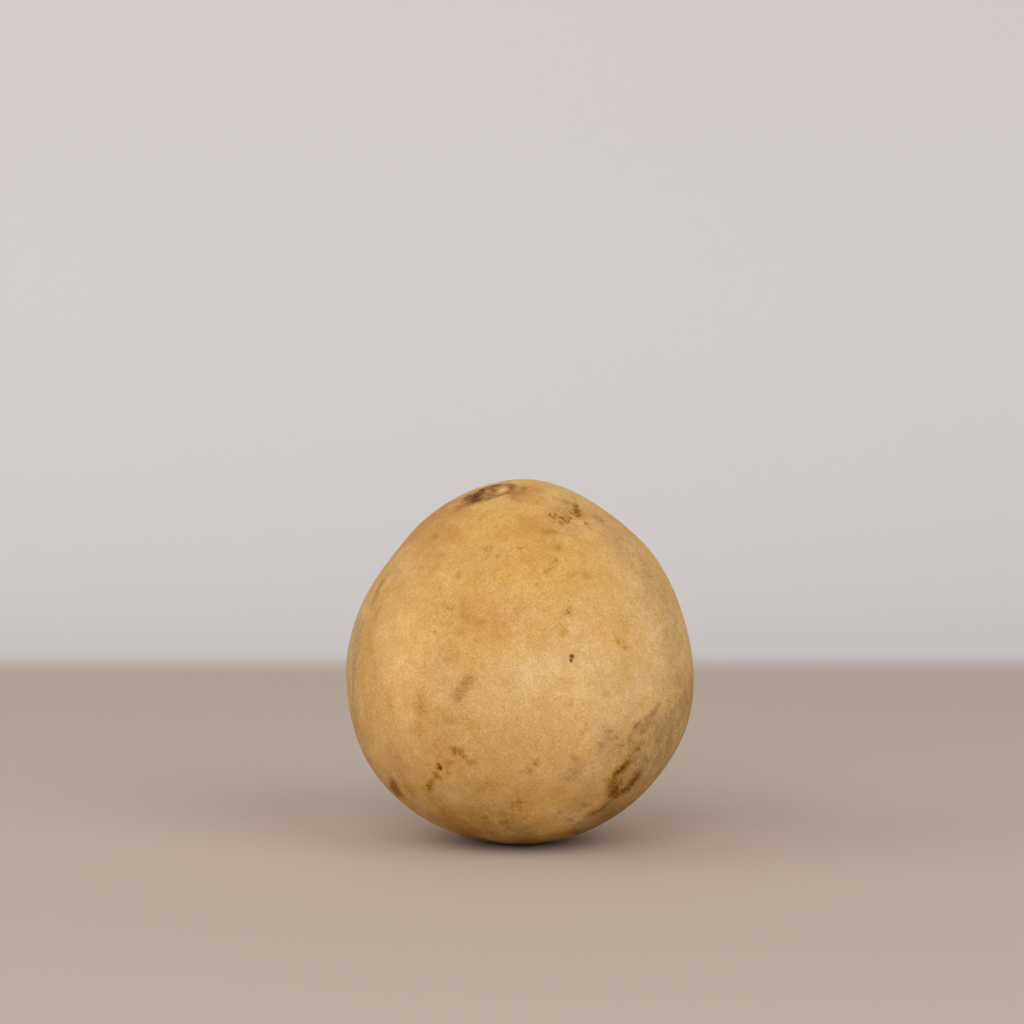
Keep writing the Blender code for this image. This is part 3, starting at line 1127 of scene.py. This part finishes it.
def rind_material(look):
    """Dry rind: its colour, an uneven dull gloss, and bumps that are too fine for the mesh."""
    material, tree, shader = new_material("dried_rind")
    place = swaying_place(tree)
    patterns = {name: noise(tree, place, *settings) for name, settings in PATTERNS.items()}
    colours = {name: (*getattr(look, name), 1.0) for name in RindColours.__annotations__}
    tree.links.new(rind_colour(tree, patterns, colours), shader.inputs["Base Color"])
    roughness = stretch(tree, patterns["mottles"], *ROUGHNESS_SPREAD)
    tree.links.new(roughness, shader.inputs["Roughness"])
    shader.inputs["Specular IOR Level"].default_value = GLOSS
    height = weighted_sum(tree, [(patterns[name], weight) for name, weight in BUMPS_MIX.items()])
    inputs = {"Height": height, "Distance": BUMP_HEIGHT, "Strength": 1.0}
    tree.links.new(add_node(tree, "ShaderNodeBump", inputs).outputs["Normal"], shader.inputs["Normal"])
    return material


class MATERIAL_OT_egg_gourd_rind(Operator):
    """Give the skin its stained and mottled rind"""

    bl_idname = "material.egg_gourd_rind"
    bl_label = "Egg Gourd Rind"

    def execute(self, context):
        skin = bpy.data.objects[SKIN_NAME]
        skin.data.materials.append(rind_material(context.scene.egg_gourd_colours))
        return {"FINISHED"}


def select_edges(obj, is_chosen):
    """Select the active object's edges whose middles are chosen, and stay in edit mode."""
    bpy.ops.mesh.select_mode(type="EDGE")
    bpy.ops.mesh.select_all(action="DESELECT")
    bpy.ops.object.mode_set(mode="OBJECT")
    places = [vertex.co for vertex in obj.data.vertices]
    for edge in obj.data.edges:
        edge.select = is_chosen((places[edge.vertices[0]] + places[edge.vertices[1]]) / 2)
    bpy.ops.object.mode_set(mode="EDIT")


def stage_material(look):
    """Matte floor colour that passes softly into the backdrop's."""
    material, tree, shader = new_material("pale_stage")
    shader.inputs["Roughness"].default_value = STAGE_ROUGHNESS
    place = tree.nodes.new("ShaderNodeTexCoord").outputs["Object"]
    behind = add_node(tree, "ShaderNodeSeparateXYZ", {"Vector": place}).outputs["Y"]
    inputs = {"Value": behind, "From Min": FLOOR_END[0], "From Max": FLOOR_END[1]}
    change = add_node(tree, "ShaderNodeMapRange", inputs, interpolation_type="SMOOTHSTEP")
    floor, wall = ((*colour, 1.0) for colour in (look.floor_colour, look.wall_colour))
    mixed = blend(tree, "MIX", change.outputs["Result"], floor, wall)
    tree.links.new(mixed, shader.inputs["Base Color"])
    return material


def add_sweep(look):
    """The floor and the backdrop as one sheet, bent in a wide curve where they meet."""
    bpy.ops.object.select_all(action="DESELECT")
    bpy.ops.mesh.primitive_plane_add(size=1)
    sweep = bpy.context.object
    sweep.name = sweep.data.name = "floor_and_backdrop"
    bpy.ops.object.mode_set(mode="EDIT")
    bpy.ops.transform.resize(value=(STAGE_WIDTH, BACKDROP_PLACE - STAGE_FRONT, 1))
    bpy.ops.transform.translate(value=(0, (BACKDROP_PLACE + STAGE_FRONT) / 2, 0))
    select_edges(sweep, lambda place: place.y > BACKDROP_PLACE - MM)
    bpy.ops.mesh.extrude_edges_move(TRANSFORM_OT_translate={"value": (0, 0, BACKDROP_HEIGHT)})
    select_edges(sweep, lambda place: place.y > BACKDROP_PLACE - MM and place.z < MM)
    bpy.ops.mesh.bevel(offset=BEND_RADIUS, segments=BEND_STEPS)
    bpy.ops.object.mode_set(mode="OBJECT")
    bpy.ops.object.shade_smooth()
    sweep.data.materials.append(stage_material(look))


def add_light(name, azimuth, elevation, distance, size, power, middle):
    """A square soft light that shines on the gourd's middle and stays out of sight."""
    outward = Vector(direction(azimuth, elevation))
    bpy.ops.object.light_add(type="AREA", location=Vector(middle) + outward * distance)
    light = bpy.context.object
    light.name = name
    light.rotation_euler = outward.to_track_quat("Z", "Y").to_euler()
    light.data.size = size
    light.data.energy = power
    light.visible_camera = False


def add_soft_world(scene, strength):
    """White light of this strength from all round."""
    world = bpy.data.worlds.new("soft_light")
    world.use_nodes = True
    background = world.node_tree.nodes["Background"]
    background.inputs["Color"].default_value = (1, 1, 1, 1)
    background.inputs["Strength"].default_value = strength
    scene.world = world
    scene.view_settings.view_transform = "Standard"


def add_camera(scene, middle):
    """The camera, aimed so that the gourd's middle falls on its place in the picture."""
    focal = LENS / SENSOR * PICTURE_SIDE
    centre = PICTURE_SIDE / 2
    turn = math.atan((GOURD_MIDDLE_IN_PICTURE[0] - centre) / focal)
    drop = math.radians(CAMERA_ELEVATION) - math.atan((GOURD_MIDDLE_IN_PICTURE[1] - centre) / focal)
    place = middle + direction(0, CAMERA_ELEVATION) * CAMERA_DISTANCE
    bpy.ops.object.camera_add(location=place, rotation=(math.pi / 2 - drop, 0, turn))
    camera = bpy.context.object
    camera.name = "camera"
    camera.data.lens = LENS
    camera.data.sensor_width = SENSOR
    scene.camera = camera


class SCENE_OT_egg_gourd_stage(Operator):
    """Set the floor, the backdrop, the lights and the camera"""

    bl_idname = "scene.egg_gourd_stage"
    bl_label = "Egg Gourd Stage"

    def execute(self, context):
        scene = context.scene
        look = scene.egg_gourd_stage
        middle = middle_of(scene.egg_gourd_form)
        add_sweep(look)
        for name, settings in LIGHTS.items():
            add_light(name, *settings, middle)
        add_soft_world(scene, look.ambient)
        add_camera(scene, middle)
        return {"FINISHED"}


class VIEW3D_PT_egg_gourd(Panel):
    """Sizes, colours and steps of the dried egg gourd"""

    bl_idname = "VIEW3D_PT_egg_gourd"
    bl_label = "Dried Egg Gourd"
    bl_space_type = "VIEW_3D"
    bl_region_type = "UI"
    bl_category = "Egg Gourd"

    def draw(self, context):
        layout = self.layout
        for group_name, group in GROUPS.items():
            for name in group.__annotations__:
                layout.prop(getattr(context.scene, group_name), name)
        for step in STEPS:
            layout.operator(step.bl_idname)


GROUPS = {"egg_gourd_form": GourdForm, "egg_gourd_colours": RindColours, "egg_gourd_stage": StageLook}
STEPS = (MESH_OT_egg_gourd_skin, MATERIAL_OT_egg_gourd_rind, SCENE_OT_egg_gourd_stage)
CLASSES = (*GROUPS.values(), *STEPS, VIEW3D_PT_egg_gourd)


def register():
    """Make the classes and the scene's property groups known to Blender."""
    for each in CLASSES:
        bpy.utils.register_class(each)
    for name, group in GROUPS.items():
        setattr(bpy.types.Scene, name, PointerProperty(type=group))


def unregister():
    """Take them away again."""
    for name in GROUPS:
        delattr(bpy.types.Scene, name)
    for each in reversed(CLASSES):
        bpy.utils.unregister_class(each)


def main():
    """Build the gourd and its stage."""
    register()
    bpy.ops.mesh.egg_gourd_skin()
    bpy.ops.material.egg_gourd_rind()
    bpy.ops.scene.egg_gourd_stage()


if __name__ == "__main__":
    main()
